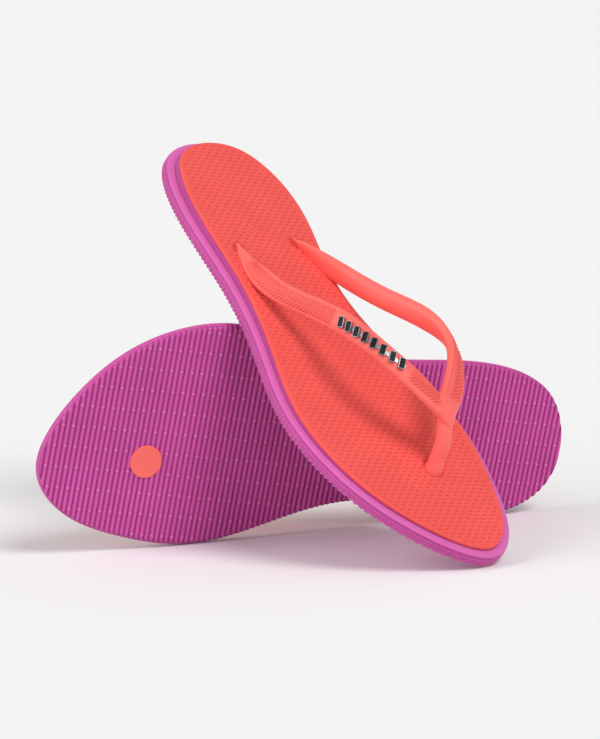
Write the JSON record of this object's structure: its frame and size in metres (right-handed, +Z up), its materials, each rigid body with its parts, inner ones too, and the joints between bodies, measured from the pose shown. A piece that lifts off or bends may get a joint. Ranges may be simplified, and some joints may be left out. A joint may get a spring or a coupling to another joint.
{
  "type": "pair of thong sandals",
  "caption": "Pair of rubber thong sandals with ribbed soles, Y-shaped straps and a badge of slanted studs, one laid across the other.",
  "frame": {"origin": "bottom centre of the pair's bounding box, on the floor", "axes": "+Z up; +X along the lower (left) sandal's longer lie and the pair's longest extent; +Y to the back, away from the side that shows the lower sandal's tread and the upper sandal's footbed"},
  "size_m": [0.2348, 0.1688, 0.1718],
  "materials": {
    "sole": "satin purple sole rubber",
    "footbed": "matt coral sheet rubber with a fine dimpled grain",
    "strap": "soft satin coral moulding",
    "badge_metal": "polished",
    "badge_face": "gloss black"
  },
  "bodies": {
    "left_sandal": {"left_outsole": "sole", "left_midsole": "sole", "left_footbed": "footbed", "left_strap": "strap", "left_badge_rail": "badge_metal", "left_badge_studs": "badge_face", "left_badge_pins": "badge_metal"},
    "right_sandal": {"right_outsole": "sole", "right_midsole": "sole", "right_footbed": "footbed", "right_strap": "strap", "right_badge_rail": "badge_metal", "right_badge_studs": "badge_face", "right_badge_pins": "badge_metal"}
  },
  "joints": [
    {"name": "lift_off", "type": "slide", "parent": "left_sandal", "child": "right_sandal", "axis": [0, 0, 1], "range_m": [0, 0.2]}
  ]
}
